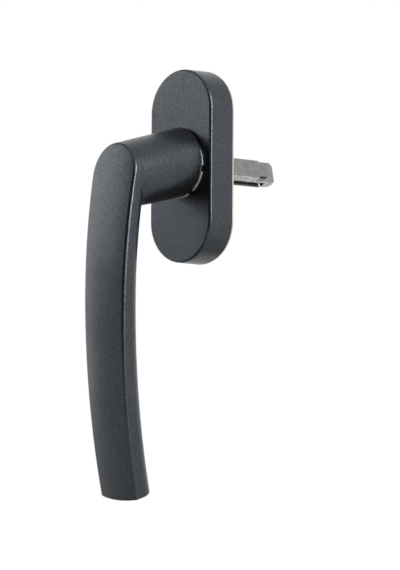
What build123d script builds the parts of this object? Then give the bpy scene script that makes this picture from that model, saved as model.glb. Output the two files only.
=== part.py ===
"""Window handle: a bowed lever on a sloping round neck, an oblong escutcheon and a square spindle.

Millimetres and degrees. The origin is on the turning axis, at the face that lies on the window frame.
+Y points into the window frame, +Z up, and the lever hangs down. A depth is how far in front of that face.
"""

import os
from math import asin, atan2, cos, hypot, radians, sin, sqrt, tan

from build123d import *

# Fits and gaps
RUNNING_GAP = 0.05
SEAT_GAP = 0.02
AXIAL_GAP = 0.06

# Escutcheon cover: a drafted cap with round ends
COVER_WIDTH = 29.6
COVER_HEIGHT = 67.0
COVER_DEPTH = 11.4
COVER_WALL = 1.3
COVER_FACE_WALL = 1.4
COVER_DRAFT = 2.2
COVER_EDGE_ROUND = 0.9

# Base plate under the cover
PLATE_THICKNESS = 0.8
PLATE_INSET = 0.3
SCREW_SPACING = 43.0
SCREW_HOLE_DIAMETER = 5.3
SCREW_HEAD_DIAMETER = 9.6
LUG_DIAMETER = 10.0
LUG_LENGTH = 3.0
LUG_CHAMFER = 0.5
HUB_ROOM = 1.0
HUB_WALL = 0.9
HUB_FLOOR_DEPTH = 2.5
HUB_FLOOR_THICKNESS = 1.4
REAR_RECESS_ROOM = 0.85

# Pivot behind the lever's neck
PIVOT_DIAMETER = 13.4
PIVOT_FLATS = 11.8
PIVOT_END_DEPTH = 0.5

# Bearing cap in the hub's mouth, with a collar for the cover
CAP_THICKNESS = 1.2
COLLAR_DIAMETER = 17.2
COLLAR_GAP = 0.1

# Ring between the cover and the neck
SLIDE_RING_THICKNESS = 0.55
SLIDE_RING_DIAMETER = 22.3
SLIDE_RING_NOTCHES = 7
SLIDE_RING_TURN = -8.0
SLIDE_RING_NOTCH_WIDTH = 2.2
SLIDE_RING_NOTCH_DEPTH = 0.9

# Detent: a four-sided cam between two flat springs
CAM_FLATS = 16.6
CAM_CORNER_DIAMETER = 19.0
CAM_ROOM = 0.38
SPRING_THICKNESS = 0.5
SPRING_END_ROOM = 0.4
SPRING_SEAT_LENGTH = 2.5
SPRING_RELIEF_DEPTH = 1.9

# Thrust washer and retaining ring behind the hub's floor
WASHER_ROOM = 0.7
WASHER_THICKNESS = 0.5
RETAINER_DIAMETER = 16.6
RETAINER_THICKNESS = 0.9
RETAINER_GROOVE_DEPTH = 0.5
RETAINER_OPENING = 60
RETAINER_EYE_DIAMETER = 3.0
RETAINER_EYE_HOLE = 1.3

# Square spindle with a cross-shaped tip; the notches go round from the upper right corner
SPINDLE_SQUARE = 7.0
SPINDLE_EDGE = 0.15
SPINDLE_REACH = 35.2
SPINDLE_TAIL_DEPTH = 20.0
SPINDLE_TAIL_ROOM = 1.0
SPINDLE_RIB = 3.4
SPINDLE_RIB_SKEW = 15.0
SPINDLE_RIB_CHAMFER = 0.8
SPINDLE_NOTCH_LENGTHS = (8.1, 8.1, 4.2, 10.2)
SPINDLE_GROOVE_WIDTH = 2.8
SPINDLE_GROOVE_DEPTH = 1.2
SPINDLE_GROOVE_OFFSET = 1.6
SPINDLE_GROOVE_LENGTH = 31.0
SPINDLE_BORE_GAP = 0.1
SPINDLE_TURN = 26.0
SPINDLE_PLAY = 28.0
PIN_DIAMETER = 2.5
PIN_END_ROOM = 0.3
PIN_DEPTH = 5.8

# Lever: sloping neck and bowed grip
NECK_TILT = 13.5
NECK_CROSSING_DEPTH = 16.8
NECK_WIDTH = 21.8
NECK_STRAIGHT = 1.5
LEVER_DRAFT = 1.36
GRIP_REACH = 104.4
GRIP_END_WIDTH = 16.8
GRIP_END_FORWARDS = 47.9
GRIP_END_BULGE = 0.7
BOW_PEAK_DEPTH = 47.4
BOW_PEAK_DROP = 47.0
BOW_UPPER_RADIUS = 240.0
BOW_LOWER_RADIUS = 287.0
CROWN_TOP_RADIUS = 45.0
CROWN_END_RADIUS = 25.0
GRIP_THICKNESS = 10.1
BACK_PEAK_DROP = 42.0
BACK_UPPER_RADIUS = 205.0
BACK_LOWER_RADIUS = 288.0
GRIP_BACK_ROUND = 6.5
ARRIS_ROUND = 1.0
NECK_RIM_ROUND = 0.4

# Sizes and depths that follow from those above
COVER_BACK_DEPTH = PLATE_THICKNESS + AXIAL_GAP
HUB_MOUTH_DEPTH = COVER_DEPTH - COVER_FACE_WALL - AXIAL_GAP
CAP_BACK_DEPTH = HUB_MOUTH_DEPTH - CAP_THICKNESS
HUB_DIAMETER = COVER_WIDTH - 2 * (COVER_WALL + HUB_ROOM)
HUB_INNER_DIAMETER = HUB_DIAMETER - 2 * HUB_WALL
FLOOR_FRONT_DEPTH = HUB_FLOOR_DEPTH + HUB_FLOOR_THICKNESS
CAM_BACK_DEPTH = FLOOR_FRONT_DEPTH + AXIAL_GAP
CAM_FRONT_DEPTH = CAP_BACK_DEPTH - CAM_ROOM
SPRING_SEAT = CAM_FLATS / 2 + RUNNING_GAP + SPRING_THICKNESS + RUNNING_GAP
SPRING_LENGTH = 2 * sqrt((HUB_INNER_DIAMETER / 2 - SPRING_END_ROOM) ** 2 - SPRING_SEAT ** 2)
SPRING_RELIEF_LENGTH = SPRING_LENGTH - 2 * SPRING_SEAT_LENGTH
SLIDE_RING_BACK_DEPTH = COVER_DEPTH + AXIAL_GAP
NECK_BACK_DEPTH = SLIDE_RING_BACK_DEPTH + SLIDE_RING_THICKNESS + AXIAL_GAP
NECK_HEIGHT = NECK_WIDTH + NECK_STRAIGHT
BACK_PEAK_DEPTH = BOW_PEAK_DEPTH - GRIP_THICKNESS
RETAINER_EYE_RADIUS = RETAINER_DIAMETER / 2 - RETAINER_EYE_HOLE / 2
REAR_RECESS_DIAMETER = 2 * (RETAINER_EYE_RADIUS + REAR_RECESS_ROOM) + RETAINER_EYE_DIAMETER
WASHER_DIAMETER = REAR_RECESS_DIAMETER - 2 * WASHER_ROOM
WASHER_BACK_DEPTH = HUB_FLOOR_DEPTH - SEAT_GAP - WASHER_THICKNESS
RETAINER_FRONT_DEPTH = WASHER_BACK_DEPTH - AXIAL_GAP
RETAINER_BACK_DEPTH = RETAINER_FRONT_DEPTH - RETAINER_THICKNESS
SPINDLE_BORE = 2 * hypot(SPINDLE_SQUARE / 2, SPINDLE_SQUARE / 2 - SPINDLE_EDGE) + 2 * SPINDLE_BORE_GAP
SPINDLE_BORE_END_DEPTH = SPINDLE_TAIL_DEPTH + SPINDLE_TAIL_ROOM
PIVOT_BORE = PIVOT_DIAMETER + 2 * RUNNING_GAP
PIN_LENGTH = PIVOT_DIAMETER - 2 * PIN_END_ROOM


def at_depth(depth):
    """The plane this far in front of the window frame, facing the user, with x along +X and y along +Z."""
    return Plane.XZ.offset(depth)


def prism(sketch, back, front):
    """A sketch in X and Z, extruded from one depth to a larger one."""
    return extrude(at_depth(back) * sketch, front - back)


def round_section(diameter):
    """A circle that starts at its top, so that nothing is cut across its seam."""
    return Rot(0, 0, 90) * Circle(diameter / 2)


def disc(diameter, back, front):
    return prism(round_section(diameter), back, front)


def upright_slot(height, width):
    return SlotOverall(height, width, rotation=90)


def drafted_slot(height, width, back, front):
    """An oblong block that narrows by the cover's draft from its back to its front."""
    block = extrude(upright_slot(height, width), front - back, taper=COVER_DRAFT)
    return at_depth(back).location * block


def make_cover():
    block = drafted_slot(COVER_HEIGHT, COVER_WIDTH, COVER_BACK_DEPTH, COVER_DEPTH)
    face = block.faces().sort_by(Axis.Y)[0]
    block = fillet(face.edges(), COVER_EDGE_ROUND)
    hollow = drafted_slot(
        COVER_HEIGHT - 2 * COVER_WALL,
        COVER_WIDTH - 2 * COVER_WALL,
        COVER_BACK_DEPTH,
        COVER_DEPTH - COVER_FACE_WALL,
    )
    hole = disc(COLLAR_DIAMETER + 2 * COLLAR_GAP, COVER_BACK_DEPTH, COVER_DEPTH)
    return block - hollow - hole


def make_base_plate():
    outline = upright_slot(COVER_HEIGHT - 2 * PLATE_INSET, COVER_WIDTH - 2 * PLATE_INSET)
    plate = prism(outline, 0, PLATE_THICKNESS)
    plate += disc(HUB_DIAMETER, 0, HUB_MOUTH_DEPTH)
    plate -= disc(REAR_RECESS_DIAMETER, 0, HUB_FLOOR_DEPTH)
    plate -= disc(PIVOT_BORE, 0, HUB_MOUTH_DEPTH)
    plate -= disc(HUB_INNER_DIAMETER, CAP_BACK_DEPTH, HUB_MOUTH_DEPTH)
    plate -= prism(spring_pocket(), FLOOR_FRONT_DEPTH, CAP_BACK_DEPTH)
    for side in (1, -1):
        spot = Pos(0, side * SCREW_SPACING / 2)
        lug = prism(spot * Circle(LUG_DIAMETER / 2), -LUG_LENGTH, 0)
        plate += chamfer(lug.faces().sort_by(Axis.Y)[-1].edges(), LUG_CHAMFER)
        plate -= prism(spot * Circle(SCREW_HOLE_DIAMETER / 2), -LUG_LENGTH, PLATE_THICKNESS)
        sink = (SCREW_HEAD_DIAMETER - SCREW_HOLE_DIAMETER) / 2
        cone = Cone(SCREW_HOLE_DIAMETER / 2, SCREW_HEAD_DIAMETER / 2, sink)
        plate -= at_depth(PLATE_THICKNESS - sink / 2) * spot * cone
    return plate


def spring_pocket():
    """The detent's room in the hub: seats for the springs' ends, and relief behind their middles."""
    room = Rectangle(2 * SPRING_SEAT, HUB_INNER_DIAMETER)
    room += Rectangle(2 * (SPRING_SEAT + SPRING_RELIEF_DEPTH), SPRING_RELIEF_LENGTH)
    return room & Circle(HUB_INNER_DIAMETER / 2)


def make_bearing_cap():
    cap = disc(HUB_INNER_DIAMETER - 2 * SEAT_GAP, CAP_BACK_DEPTH, HUB_MOUTH_DEPTH)
    cap += disc(COLLAR_DIAMETER, HUB_MOUTH_DEPTH, COVER_DEPTH)
    return cap - disc(PIVOT_BORE, CAP_BACK_DEPTH, COVER_DEPTH)


def make_slide_ring():
    ring = Circle(SLIDE_RING_DIAMETER / 2) - Circle(PIVOT_BORE / 2)
    notch = Rectangle(2 * SLIDE_RING_NOTCH_DEPTH, SLIDE_RING_NOTCH_WIDTH)
    ring -= PolarLocations(SLIDE_RING_DIAMETER / 2, SLIDE_RING_NOTCHES, start_angle=SLIDE_RING_TURN) * notch
    return prism(ring, SLIDE_RING_BACK_DEPTH, SLIDE_RING_BACK_DEPTH + SLIDE_RING_THICKNESS)


def double_flat(diameter, flats):
    """A round section with two flats, above and below."""
    return round_section(diameter) & Rectangle(diameter, flats)


def make_detent_cam():
    outline = Rectangle(CAM_FLATS, CAM_FLATS) & Circle(CAM_CORNER_DIAMETER / 2)
    hole = double_flat(PIVOT_DIAMETER + 2 * SEAT_GAP, PIVOT_FLATS + 2 * SEAT_GAP)
    return prism(outline - hole, CAM_BACK_DEPTH, CAM_FRONT_DEPTH)


def make_detent_spring(side):
    """A flat spring against the cam's left (-1) or right (1) flat."""
    middle = side * (CAM_FLATS / 2 + RUNNING_GAP + SPRING_THICKNESS / 2)
    strip = Pos(middle, 0) * Rectangle(SPRING_THICKNESS, SPRING_LENGTH)
    return prism(strip, CAM_BACK_DEPTH, CAM_FRONT_DEPTH)


def make_thrust_washer():
    ring = Circle(WASHER_DIAMETER / 2) - Circle(PIVOT_BORE / 2)
    return prism(ring, WASHER_BACK_DEPTH, WASHER_BACK_DEPTH + WASHER_THICKNESS)


def make_retaining_ring():
    """An open ring with an eye at each end, in the groove at the pivot's end."""
    inner = PIVOT_DIAMETER / 2 - RETAINER_GROOVE_DEPTH + SEAT_GAP
    half_opening = RETAINER_OPENING / 2
    ring = Circle(RETAINER_DIAMETER / 2)
    reach = RETAINER_DIAMETER
    opening = Polyline(
        (0, 0),
        (-reach * sin(radians(half_opening)), -reach * cos(radians(half_opening))),
        (reach * sin(radians(half_opening)), -reach * cos(radians(half_opening))),
        close=True,
    )
    ring -= make_face(opening)
    for side in (1, -1):
        turn = radians(-90 + side * half_opening)
        spot = Pos(RETAINER_EYE_RADIUS * cos(turn), RETAINER_EYE_RADIUS * sin(turn))
        ring += spot * Circle(RETAINER_EYE_DIAMETER / 2)
        ring -= spot * Circle(RETAINER_EYE_HOLE / 2)
    ring -= Circle(inner)
    return prism(ring, RETAINER_BACK_DEPTH, RETAINER_FRONT_DEPTH)


def rib_ends():
    """The cross at the spindle's end: one pair of ribs ends round, the other square with cut corners."""
    length = min(SPINDLE_NOTCH_LENGTHS)
    round_pair = SlotOverall(2 * length, SPINDLE_RIB)
    square_pair = chamfer(Rectangle(2 * length, SPINDLE_SQUARE).vertices(), SPINDLE_RIB_CHAMFER)
    start = Pos(0, SPINDLE_REACH - length, 0)
    ribs = extrude(Plane.YZ * square_pair, SPINDLE_RIB / 2, both=True)
    ribs += Rot(0, 90, 0) * extrude(Plane.YZ * round_pair, SPINDLE_SQUARE, both=True)
    return start * Rot(0, SPINDLE_RIB_SKEW, 0) * ribs


def make_spindle():
    """A square bar whose corners are notched at the tip, which leaves a cross askew to the bar's faces."""
    square = chamfer(Rectangle(SPINDLE_SQUARE, SPINDLE_SQUARE).vertices(), SPINDLE_EDGE)
    bar = prism(square, -SPINDLE_REACH, SPINDLE_TAIL_DEPTH)
    bar = chamfer(bar.faces().sort_by(Axis.Y)[0].edges(), SPINDLE_EDGE)
    quarter = Rectangle(SPINDLE_SQUARE, SPINDLE_SQUARE, align=Align.MIN)
    quarter = Pos(SPINDLE_RIB / 2, SPINDLE_RIB / 2) * quarter
    for turn, length in zip((0, 90, 180, 270), SPINDLE_NOTCH_LENGTHS):
        corner = Rot(0, 0, turn - SPINDLE_RIB_SKEW) * quarter
        bar -= prism(corner, -SPINDLE_REACH, length - SPINDLE_REACH)
    end = prism(Circle(SPINDLE_SQUARE), -SPINDLE_REACH, min(SPINDLE_NOTCH_LENGTHS) - SPINDLE_REACH)
    bar -= end - rib_ends()
    groove = Rectangle(SPINDLE_GROOVE_WIDTH, 2 * SPINDLE_GROOVE_DEPTH)
    groove = Pos(-SPINDLE_GROOVE_OFFSET, -SPINDLE_SQUARE / 2) * groove
    bar -= prism(groove, -SPINDLE_GROOVE_LENGTH, 0)
    bar -= make_drive_pin(0, PIN_DIAMETER + 2 * SEAT_GAP, 2 * SPINDLE_SQUARE)
    return Rot(0, -SPINDLE_TURN, 0) * bar


def make_drive_pin(turn, diameter, length):
    pin = Rot(0, 90, 0) * Cylinder(diameter / 2, length)
    return Rot(0, -turn, 0) * Pos(0, -PIN_DEPTH, 0) * pin


def pin_windows():
    """The two windows in the pivot's wall that let the pin swing by the spindle's play, either way."""
    half_angle = radians(SPINDLE_PLAY) + asin((PIN_DIAMETER / 2 + RUNNING_GAP) / (SPINDLE_BORE / 2))
    inner, outer = SPINDLE_BORE / 4, PIVOT_DIAMETER
    corners = [(reach * cos(turn), reach * sin(turn)) for reach, turn in (
        (inner, -half_angle), (outer, -half_angle), (outer, half_angle), (inner, half_angle)
    )]
    half_height = PIN_DIAMETER / 2 + RUNNING_GAP
    window = make_face(Polyline(*corners, close=True))
    windows = [window, mirror(window, Plane.YZ)]
    return [prism(sketch, PIN_DEPTH - half_height, PIN_DEPTH + half_height) for sketch in windows]


def neck_location():
    """Local x along +X, y upwards across the neck, z forwards along it, from where it crosses the axis."""
    tilt = radians(NECK_TILT)
    forwards = (0, -cos(tilt), -sin(tilt))
    return Plane((0, -NECK_CROSSING_DEPTH, 0), x_dir=(1, 0, 0), z_dir=forwards).location


def widened(length):
    """How much the lever's draft adds to a half width, this far back along the neck."""
    return length * tan(radians(LEVER_DRAFT))


def grip_outline(radius, end_half_width):
    """The outline below the neck's upper round: sides that are tangent to it, and a bulging lower end."""
    rise = (NECK_HEIGHT - NECK_WIDTH) / 2
    drop = GRIP_REACH + rise
    taper = asin(radius / hypot(drop, end_half_width)) - atan2(end_half_width, drop)
    side = Vector(radius * cos(taper), rise - radius * sin(taper))
    end = Vector(end_half_width, -GRIP_REACH)
    other_side = Vector(-side.X, side.Y)
    other_end = Vector(-end.X, end.Y)
    bottom = ThreePointArc(other_end, (0, -GRIP_REACH - GRIP_END_BULGE), end)
    return make_face([Line(side, other_side), Line(other_side, other_end), bottom, Line(end, side)])


def bow_point(peak_depth, peak_drop, radius, height):
    """The point at this height, in Y and Z, on an arc that bulges forwards."""
    rise = height + peak_drop
    return Vector(-peak_depth + radius - (radius**2 - rise**2) ** 0.5, height)


def bow(peak_depth, peak_drop, upper_radius, lower_radius, top):
    """A line in Y and Z that bulges forwards: two arcs that meet at its peak, from a height downwards."""
    foot = -(GRIP_REACH + NECK_HEIGHT)
    upper_middle = bow_point(peak_depth, peak_drop, upper_radius, (top - peak_drop) / 2)
    lower_middle = bow_point(peak_depth, peak_drop, lower_radius, (foot - peak_drop) / 2)
    peak = Vector(-peak_depth, -peak_drop)
    upper = ThreePointArc(bow_point(peak_depth, peak_drop, upper_radius, top), upper_middle, peak)
    lower = ThreePointArc(peak, lower_middle, bow_point(peak_depth, peak_drop, lower_radius, foot))
    return [upper, lower]


def crowned_front():
    """All that lies behind the lever's front: the bow, turned about a sloping axis nearest to its foot."""
    lines = bow(BOW_PEAK_DEPTH, BOW_PEAK_DROP, BOW_UPPER_RADIUS, BOW_LOWER_RADIUS, NECK_HEIGHT)
    head, foot = lines[0] @ 0, lines[-1] @ 1
    axis_head = Vector(head.X + CROWN_TOP_RADIUS, head.Y)
    axis_foot = Vector(foot.X + CROWN_END_RADIUS, foot.Y)
    profile = Plane.YZ * make_face(lines + [Polyline(head, axis_head, axis_foot, foot)])
    axis = Axis((0, axis_head.X, axis_head.Y), (0, axis_foot.X - axis_head.X, axis_foot.Y - axis_head.Y))
    return revolve(profile, axis, 360)


def in_front_of(line):
    """All that lies in front of a line in Y and Z, to both sides past the lever's width."""
    head, foot = line[0] @ 0, line[-1] @ 1
    reach = -2 * BOW_PEAK_DEPTH
    ends = [Polyline(head, (reach, head.Y), (reach, foot.Y), foot)]
    return extrude(Plane.YZ * make_face(line + ends), NECK_WIDTH, both=True)


def make_lever():
    """One casting: the grip and the neck, drawn out backwards along the neck, behind one crowned front."""
    start = -(NECK_CROSSING_DEPTH / cos(radians(NECK_TILT)))
    length = BOW_PEAK_DEPTH - start + GRIP_REACH * sin(radians(NECK_TILT))
    rim = -(NECK_CROSSING_DEPTH - NECK_BACK_DEPTH) / cos(radians(NECK_TILT))
    growth = widened(rim - start)
    end_half_width = GRIP_END_WIDTH / 2 + widened(GRIP_END_FORWARDS - start)
    place = neck_location() * Pos(0, 0, start)

    grip = place * extrude(grip_outline(NECK_WIDTH / 2 + growth, end_half_width), length, taper=LEVER_DRAFT)
    back = bow(BACK_PEAK_DEPTH, BACK_PEAK_DROP, BACK_UPPER_RADIUS, BACK_LOWER_RADIUS, NECK_HEIGHT)
    grip &= in_front_of(back)
    bowed = grip.faces().filter_by(GeomType.CYLINDER).sort_by(lambda face: face.radius)[-2:]
    sides = bowed.edges().filter_by(lambda edge: abs(edge.center().X) > GRIP_END_WIDTH / 4)
    grip = fillet(sides, GRIP_BACK_ROUND)

    section = upright_slot(NECK_HEIGHT + 2 * growth, NECK_WIDTH + 2 * growth)
    neck = place * extrude(section, length, taper=LEVER_DRAFT)
    neck &= in_front_of([Line((-NECK_BACK_DEPTH, NECK_HEIGHT), (-NECK_BACK_DEPTH, -GRIP_REACH))])
    neck = fillet(neck.faces().sort_by(Axis.Y)[-1].edges(), NECK_RIM_ROUND)

    lever = (grip + neck) & crowned_front()
    upper, lower = lever.faces().sort_by(Axis.Y)[:2].sort_by(Axis.Z, reverse=True)
    shared = upper.edges().sort_by(Axis.Y)[0]
    arris = [edge for edge in upper.edges() + lower.edges() if not edge.is_same(shared)]
    arris += lever.faces().sort_by(Axis.Z)[0].edges()
    lever = fillet(arris, ARRIS_ROUND)

    lever += make_pivot()
    lever -= disc(SPINDLE_BORE, PIVOT_END_DEPTH, SPINDLE_BORE_END_DEPTH)
    return lever - pin_windows()


def make_pivot():
    """The journal behind the neck, with flats for the cam and a groove for the retaining ring."""
    pivot = disc(PIVOT_DIAMETER, CAM_FRONT_DEPTH, NECK_BACK_DEPTH)
    pivot += prism(double_flat(PIVOT_DIAMETER, PIVOT_FLATS), PIVOT_END_DEPTH, CAM_FRONT_DEPTH)
    groove = Circle(PIVOT_DIAMETER) - Circle(PIVOT_DIAMETER / 2 - RETAINER_GROOVE_DEPTH)
    return pivot - prism(groove, RETAINER_BACK_DEPTH - SEAT_GAP, RETAINER_FRONT_DEPTH + SEAT_GAP)


PARTS = {
    "lever": make_lever(),
    "spindle": make_spindle(),
    "drive_pin": make_drive_pin(SPINDLE_TURN, PIN_DIAMETER, PIN_LENGTH),
    "cover": make_cover(),
    "base_plate": make_base_plate(),
    "bearing_cap": make_bearing_cap(),
    "slide_ring": make_slide_ring(),
    "detent_cam": make_detent_cam(),
    "left_detent_spring": make_detent_spring(-1),
    "right_detent_spring": make_detent_spring(1),
    "thrust_washer": make_thrust_washer(),
    "retaining_ring": make_retaining_ring(),
}

os.makedirs("parts", exist_ok=True)
for name, solid in PARTS.items():
    export_step(solid, os.path.join("parts", name + ".step"))
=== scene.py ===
"""Looks of the window handle: finishes, studio, light and camera, in metres, in the handle's own frame."""

from math import cos, radians, sin

import bpy
from mathutils import Matrix, Vector

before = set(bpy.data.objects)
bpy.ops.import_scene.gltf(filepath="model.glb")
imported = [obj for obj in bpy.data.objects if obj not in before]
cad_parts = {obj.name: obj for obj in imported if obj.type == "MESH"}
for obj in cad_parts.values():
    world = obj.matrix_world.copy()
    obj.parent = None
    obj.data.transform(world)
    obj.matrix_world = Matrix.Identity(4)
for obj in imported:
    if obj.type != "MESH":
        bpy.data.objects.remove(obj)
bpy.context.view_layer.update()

MM = 0.001

# Camera
CAMERA_TARGET = Vector((-0.21, -0.79, -40.5)) * MM
CAMERA_DISTANCE = 551 * MM
CAMERA_AZIMUTH = radians(43.60)
CAMERA_ELEVATION = radians(-1.24)
CAMERA_ROLL = radians(0.35)
CAMERA_LENS = 100.5
CAMERA_SENSOR_HEIGHT = 36.0

# Studio
FLOOR_HEIGHT = -300 * MM
FLOOR_SIZE = 8.0
FLOOR_COLOUR = (0.75, 0.75, 0.75)
FLOOR_PATCH_COLOUR = (0.7275, 0.7275, 0.7275)
FLOOR_PATCH = 0.5
FLOOR_ROUGHNESS = 0.9
FLOOR_SHADOW_REACH = 0.25
FLOOR_WHITE_FROM = 0.5
CLOTH_AZIMUTH = radians(30)
CLOTH_DISTANCE = 1.2
CLOTH_WIDTH = 2.8
CLOTH_HEIGHT = 1.2
CLOTH_COLOUR = (0.012, 0.012, 0.012)
CLOTH_WEAVE_COLOUR = (0.008, 0.008, 0.008)
CLOTH_WEAVE = 4 * MM
WHITE = (1.0, 1.0, 1.0)
AMBIENT_COLOUR = (0.94, 0.97, 1.0)
AMBIENT_STRENGTH = 0.03
HANDLE_MIDDLE = (0, -20 * MM, -40 * MM)
SPINDLE_ROOT = (0, 20 * MM, 0)

# Finishes: colours are linear, and the size of a pattern is that of its patches
NOISE_RANGE = (0.3, 0.7)
COAT_COLOUR = (0.036, 0.040, 0.045)
COAT_FLAKE_COLOUR = (0.065, 0.072, 0.080)
COAT_GRAIN = 0.5 * MM
COAT_CLOUD = 14 * MM
COAT_CLOUD_TINT = (0.9, 1.06)
COAT_GLOSS_PATCH = 1.2 * MM
COAT_ROUGHNESS = (0.28, 0.37)
COAT_METALLIC = 0.88
COAT_SPECULAR = 0.25
COAT_RIPPLE = 0.55 * MM
COAT_RIPPLE_STRENGTH = 0.12
COAT_RIPPLE_HEIGHT = 0.03 * MM
METAL_GRAINS_PER_PATCH = 6
METAL_SKIN_STRENGTH = 0.35
METAL_SKIN_HEIGHT = 0.05 * MM
# Painted shade: bare metal colour is darkened in inner corners and notches, within this reach
CORNER_SHADE_REACH = 0.9 * MM
CORNER_SHADE_RANGE = (0.4, 0.95)
CORNER_SHADE_TINT = (0.15, 1.0)
PLASTIC_SHADE = 4 * MM
PLASTIC_TEXTURE = 0.25 * MM
PLASTIC_TEXTURE_STRENGTH = 0.2
PLASTIC_TEXTURE_HEIGHT = 0.02 * MM


def new_material(name):
    material = bpy.data.materials.new(name)
    material.use_nodes = True
    shader = material.node_tree.nodes["Principled BSDF"]
    return material, shader


def add_node(material, kind, **settings):
    node = material.node_tree.nodes.new(kind)
    for name, value in settings.items():
        setattr(node, name, value)
    return node


def link(material, source, target):
    material.node_tree.links.new(source, target)


def object_point(material):
    """The Object coordinate that every pattern here reads."""
    return add_node(material, "ShaderNodeTexCoord").outputs["Object"]


def noise(material, size, detail=2.0, roughness=0.5, stretch=(1, 1, 1)):
    """Noise whose patches are about this many metres across, drawn out along the axes by stretch."""
    mapping = add_node(material, "ShaderNodeMapping")
    mapping.inputs["Scale"].default_value = [1 / factor for factor in stretch]
    link(material, object_point(material), mapping.inputs["Vector"])
    texture = add_node(material, "ShaderNodeTexNoise")
    texture.inputs["Scale"].default_value = 1 / size
    texture.inputs["Detail"].default_value = detail
    texture.inputs["Roughness"].default_value = roughness
    link(material, mapping.outputs["Vector"], texture.inputs["Vector"])
    return texture.outputs["Fac"]


def spread(material, value, source, target=(0.0, 1.0)):
    """Maps the source range of a value onto the target range."""
    node = add_node(material, "ShaderNodeMapRange")
    node.inputs["From Min"].default_value, node.inputs["From Max"].default_value = source
    node.inputs["To Min"].default_value, node.inputs["To Max"].default_value = target
    link(material, value, node.inputs["Value"])
    return node.outputs["Result"]


def blend_colours(material, factor, first, second):
    node = add_node(material, "ShaderNodeMix", data_type="RGBA")
    link(material, factor, node.inputs["Factor"])
    node.inputs["A"].default_value = (*first, 1.0)
    node.inputs["B"].default_value = (*second, 1.0)
    return node.outputs["Result"]


def tinted(material, colour, tint):
    """A colour made darker or lighter by a pattern."""
    node = add_node(material, "ShaderNodeVectorMath", operation="SCALE")
    link(material, colour, node.inputs[0])
    link(material, tint, node.inputs["Scale"])
    return node.outputs["Vector"]


def painted_corner_shade(material):
    """Painted shade: the colour is made dark where a piece's own faces meet in an inner corner or a narrow
    notch.
    """
    corners = add_node(material, "ShaderNodeAmbientOcclusion", only_local=True)
    corners.inputs["Distance"].default_value = CORNER_SHADE_REACH
    return spread(material, corners.outputs["AO"], CORNER_SHADE_RANGE, CORNER_SHADE_TINT)


def bump(material, shader, height, strength, distance):
    node = add_node(material, "ShaderNodeBump")
    node.inputs["Strength"].default_value = strength
    node.inputs["Distance"].default_value = distance
    link(material, height, node.inputs["Height"])
    link(material, node.outputs["Normal"], shader.inputs["Normal"])


def powder_coat():
    """Dark anthracite coat: fine metallic flakes in a slightly rough, softly rippled film."""
    material, shader = new_material("anthracite_powder_coat")
    flakes = spread(material, noise(material, COAT_GRAIN), NOISE_RANGE)
    clouds = spread(material, noise(material, COAT_CLOUD, detail=3), NOISE_RANGE, COAT_CLOUD_TINT)
    coat = blend_colours(material, flakes, COAT_COLOUR, COAT_FLAKE_COLOUR)
    link(material, tinted(material, coat, clouds), shader.inputs["Base Color"])
    gloss = spread(material, noise(material, COAT_GLOSS_PATCH), NOISE_RANGE, COAT_ROUGHNESS)
    link(material, gloss, shader.inputs["Roughness"])
    shader.inputs["Metallic"].default_value = COAT_METALLIC
    shader.inputs["Specular IOR Level"].default_value = COAT_SPECULAR
    ripple = noise(material, COAT_RIPPLE, roughness=0.6)
    bump(material, shader, ripple, COAT_RIPPLE_STRENGTH, COAT_RIPPLE_HEIGHT)
    return material


def bare_metal(name, dark, light, grain, roughness, metallic, stretch=(1, 1, 1)):
    """Bare metal with a grain, duller patches, a fine uneven skin and painted shade in its inner corners."""
    material, shader = new_material(name)
    patches = spread(material, noise(material, METAL_GRAINS_PER_PATCH * grain, detail=4), NOISE_RANGE)
    metal = blend_colours(material, patches, dark, light)
    # The base colour carries painted shade in the piece's inner corners and notches
    link(material, tinted(material, metal, painted_corner_shade(material)), shader.inputs["Base Color"])
    skin = noise(material, grain, detail=3, roughness=0.6, stretch=stretch)
    gloss = spread(material, skin, NOISE_RANGE, (roughness - 0.08, roughness + 0.1))
    link(material, gloss, shader.inputs["Roughness"])
    shader.inputs["Metallic"].default_value = metallic
    bump(material, shader, skin, METAL_SKIN_STRENGTH, METAL_SKIN_HEIGHT)
    return material


def moulded_plastic(name, dark, light, roughness):
    """Matt moulded plastic with a fine spark-eroded texture."""
    material, shader = new_material(name)
    shade = spread(material, noise(material, PLASTIC_SHADE, detail=3), NOISE_RANGE)
    link(material, blend_colours(material, shade, dark, light), shader.inputs["Base Color"])
    texture = noise(material, PLASTIC_TEXTURE)
    gloss = spread(material, texture, NOISE_RANGE, (roughness - 0.05, roughness + 0.05))
    link(material, gloss, shader.inputs["Roughness"])
    bump(material, shader, texture, PLASTIC_TEXTURE_STRENGTH, PLASTIC_TEXTURE_HEIGHT)
    return material


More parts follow.
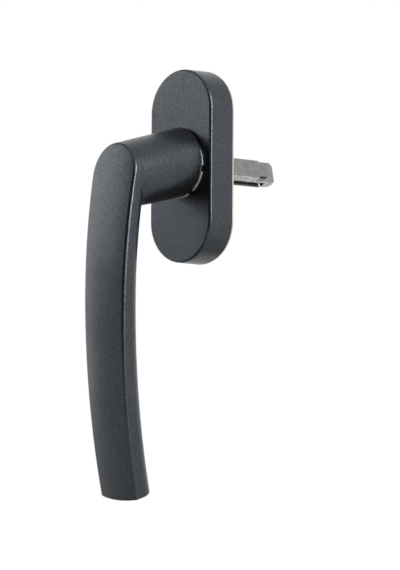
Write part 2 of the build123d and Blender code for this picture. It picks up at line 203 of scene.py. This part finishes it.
def finish_nodes():
    coat = powder_coat()
    spring_steel = bare_metal(
        "rolled_spring_steel", (0.3, 0.3, 0.31), (0.4, 0.4, 0.41),
        grain=0.3 * MM, roughness=0.3, metallic=1.0, stretch=(1, 1, 12),
    )
    finishes = {
        "lever": coat,
        "cover": coat,
        "spindle": bare_metal(
            "die_cast_zinc", (0.14, 0.14, 0.136), (0.2, 0.2, 0.194),
            grain=0.5 * MM, roughness=0.52, metallic=0.75,
        ),
        "drive_pin": bare_metal(
            "ground_pin_steel", (0.36, 0.36, 0.37), (0.46, 0.46, 0.47),
            grain=0.3 * MM, roughness=0.3, metallic=1.0,
        ),
        "base_plate": bare_metal(
            "cast_plate_metal", (0.33, 0.33, 0.325), (0.43, 0.43, 0.42),
            grain=0.6 * MM, roughness=0.48, metallic=0.8,
        ),
        "bearing_cap": moulded_plastic(
            "black_bearing_plastic", (0.018, 0.018, 0.02), (0.03, 0.03, 0.033), roughness=0.5
        ),
        "slide_ring": moulded_plastic(
            "pale_ring_plastic", (0.5, 0.5, 0.48), (0.62, 0.62, 0.6), roughness=0.45
        ),
        "detent_cam": moulded_plastic(
            "natural_cam_plastic", (0.6, 0.59, 0.55), (0.7, 0.69, 0.65), roughness=0.4
        ),
        "left_detent_spring": spring_steel,
        "right_detent_spring": spring_steel,
        "thrust_washer": bare_metal(
            "stamped_steel", (0.38, 0.38, 0.38), (0.5, 0.5, 0.5),
            grain=0.4 * MM, roughness=0.35, metallic=1.0,
        ),
        "retaining_ring": bare_metal(
            "phosphated_steel", (0.035, 0.035, 0.036), (0.06, 0.06, 0.06),
            grain=0.3 * MM, roughness=0.5, metallic=0.6,
        ),
    }
    for name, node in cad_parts.items():
        node.data.materials.clear()
        node.data.materials.append(finishes[name])


def background_share(tree):
    """1 for camera, mirrored and transmitted rays, which all see the white background."""
    path = tree.nodes.new("ShaderNodeLightPath")
    share = path.outputs["Is Camera Ray"]
    for name in ("Is Glossy Ray", "Is Transmission Ray"):
        either = tree.nodes.new("ShaderNodeMath")
        either.operation = "MAXIMUM"
        tree.links.new(share, either.inputs[0])
        tree.links.new(path.outputs[name], either.inputs[1])
        share = either.outputs["Value"]
    return share


def light_world():
    """A faint room light, which camera, mirrored and transmitted rays see as plain white."""
    world = bpy.data.worlds.new("studio_world")
    bpy.context.scene.world = world
    world.use_nodes = True
    tree = world.node_tree
    ambient = tree.nodes["Background"]
    ambient.inputs["Color"].default_value = (*AMBIENT_COLOUR, 1.0)
    ambient.inputs["Strength"].default_value = AMBIENT_STRENGTH
    white = tree.nodes.new("ShaderNodeBackground")
    white.inputs["Color"].default_value = (*WHITE, 1.0)
    white.inputs["Strength"].default_value = 1.0
    mix = tree.nodes.new("ShaderNodeMixShader")
    tree.links.new(background_share(tree), mix.inputs["Fac"])
    tree.links.new(ambient.outputs["Background"], mix.inputs[1])
    tree.links.new(white.outputs["Background"], mix.inputs[2])
    tree.links.new(mix.outputs["Shader"], tree.nodes["World Output"].inputs["Surface"])


def lay_floor():
    bpy.ops.object.select_all(action="DESELECT")
    bpy.ops.mesh.primitive_plane_add(size=FLOOR_SIZE, location=(0, 0, FLOOR_HEIGHT))
    floor = bpy.context.object
    floor.name = "studio_floor"
    material, shader = new_material("pale_floor")
    shade = spread(material, noise(material, FLOOR_PATCH), NOISE_RANGE)
    colour = blend_colours(material, shade, FLOOR_PATCH_COLOUR, FLOOR_COLOUR)
    link(material, colour, shader.inputs["Base Color"])
    shader.inputs["Roughness"].default_value = FLOOR_ROUGHNESS
    show_white_beyond(material, shader)
    floor.data.materials.append(material)


def show_white_beyond(material, shader):
    """Past the reach of the handle's shadow, the floor is as white as the background."""
    tree = material.node_tree
    white = add_node(material, "ShaderNodeEmission")
    white.inputs["Color"].default_value = (*WHITE, 1.0)
    far = add_node(material, "ShaderNodeVectorMath", operation="LENGTH")
    link(material, object_point(material), far.inputs[0])
    reach = spread(material, far.outputs["Value"], (FLOOR_SHADOW_REACH, FLOOR_WHITE_FROM))
    share = add_node(material, "ShaderNodeMath", operation="MULTIPLY")
    link(material, reach, share.inputs[0])
    link(material, background_share(tree), share.inputs[1])
    mix = add_node(material, "ShaderNodeMixShader")
    link(material, share.outputs["Value"], mix.inputs["Fac"])
    link(material, shader.outputs["BSDF"], mix.inputs[1])
    link(material, white.outputs["Emission"], mix.inputs[2])
    link(material, mix.outputs["Shader"], tree.nodes["Material Output"].inputs["Surface"])


def hang_dark_cloth():
    """A dark cloth behind the camera, which keeps the white room out of the sides that face the camera."""
    outwards = Vector((sin(CLOTH_AZIMUTH), -cos(CLOTH_AZIMUTH), 0))
    place = CLOTH_DISTANCE * outwards + Vector((0, 0, FLOOR_HEIGHT + CLOTH_HEIGHT / 2))
    bpy.ops.object.select_all(action="DESELECT")
    bpy.ops.mesh.primitive_plane_add(size=1, location=place)
    cloth = bpy.context.object
    cloth.name = "dark_cloth"
    cloth.scale = (CLOTH_WIDTH, CLOTH_HEIGHT, 1)
    cloth.rotation_euler = (-outwards).to_track_quat("Z", "Y").to_euler()
    cloth.visible_camera = False
    cloth.visible_shadow = False
    material, shader = new_material("dark_cloth")
    weave = spread(material, noise(material, CLOTH_WEAVE), NOISE_RANGE)
    colour = blend_colours(material, weave, CLOTH_WEAVE_COLOUR, CLOTH_COLOUR)
    link(material, colour, shader.inputs["Base Color"])
    shader.inputs["Roughness"].default_value = 1.0
    shader.inputs["Specular IOR Level"].default_value = 0.0
    cloth.data.materials.append(material)


def add_softbox(name, place, aim, width, height, watts, beam=180):
    """A soft rectangular lamp at a place, turned towards a point, with a beam of so many degrees."""
    bpy.ops.object.select_all(action="DESELECT")
    bpy.ops.object.light_add(type="AREA", location=place)
    lamp = bpy.context.object
    lamp.name = name
    lamp.data.shape = "RECTANGLE"
    lamp.data.size = width
    lamp.data.size_y = height
    lamp.data.energy = watts
    lamp.data.spread = radians(beam)
    lamp.rotation_euler = (Vector(aim) - Vector(place)).to_track_quat("-Z", "Y").to_euler()


def place_lights():
    """Wide light on the grip's left, one for the cover's face, a strip for edges, a narrow beam from below."""
    add_softbox("left_softbox", (-0.95, -0.1, 0.12), HANDLE_MIDDLE, width=1.0, height=0.8, watts=3.9)
    add_softbox("front_softbox", (-0.62, -0.62, 0.28), HANDLE_MIDDLE, width=0.4, height=0.36, watts=1.0)
    add_softbox("right_strip", (0.87, 0.12, 0.3), HANDLE_MIDDLE, width=0.25, height=0.5, watts=11.0)
    add_softbox(
        "low_beam", (-0.16, 0.35, -0.22), SPINDLE_ROOT, width=0.04, height=0.04, watts=0.0018, beam=13
    )


def place_camera():
    towards_camera = Vector((
        sin(CAMERA_AZIMUTH) * cos(CAMERA_ELEVATION),
        -cos(CAMERA_AZIMUTH) * cos(CAMERA_ELEVATION),
        sin(CAMERA_ELEVATION),
    ))
    bpy.ops.object.select_all(action="DESELECT")
    bpy.ops.object.camera_add(location=CAMERA_TARGET + CAMERA_DISTANCE * towards_camera)
    camera = bpy.context.object
    camera.name = "photo_camera"
    level = towards_camera.to_track_quat("Z", "Y").to_matrix()
    camera.rotation_euler = (level @ Matrix.Rotation(CAMERA_ROLL, 3, "Z")).to_euler()
    camera.data.sensor_fit = "VERTICAL"
    camera.data.sensor_height = CAMERA_SENSOR_HEIGHT
    camera.data.lens = CAMERA_LENS
    bpy.context.scene.camera = camera


finish_nodes()
light_world()
lay_floor()
hang_dark_cloth()
place_lights()
place_camera()
bpy.context.scene.view_settings.view_transform = "Standard"
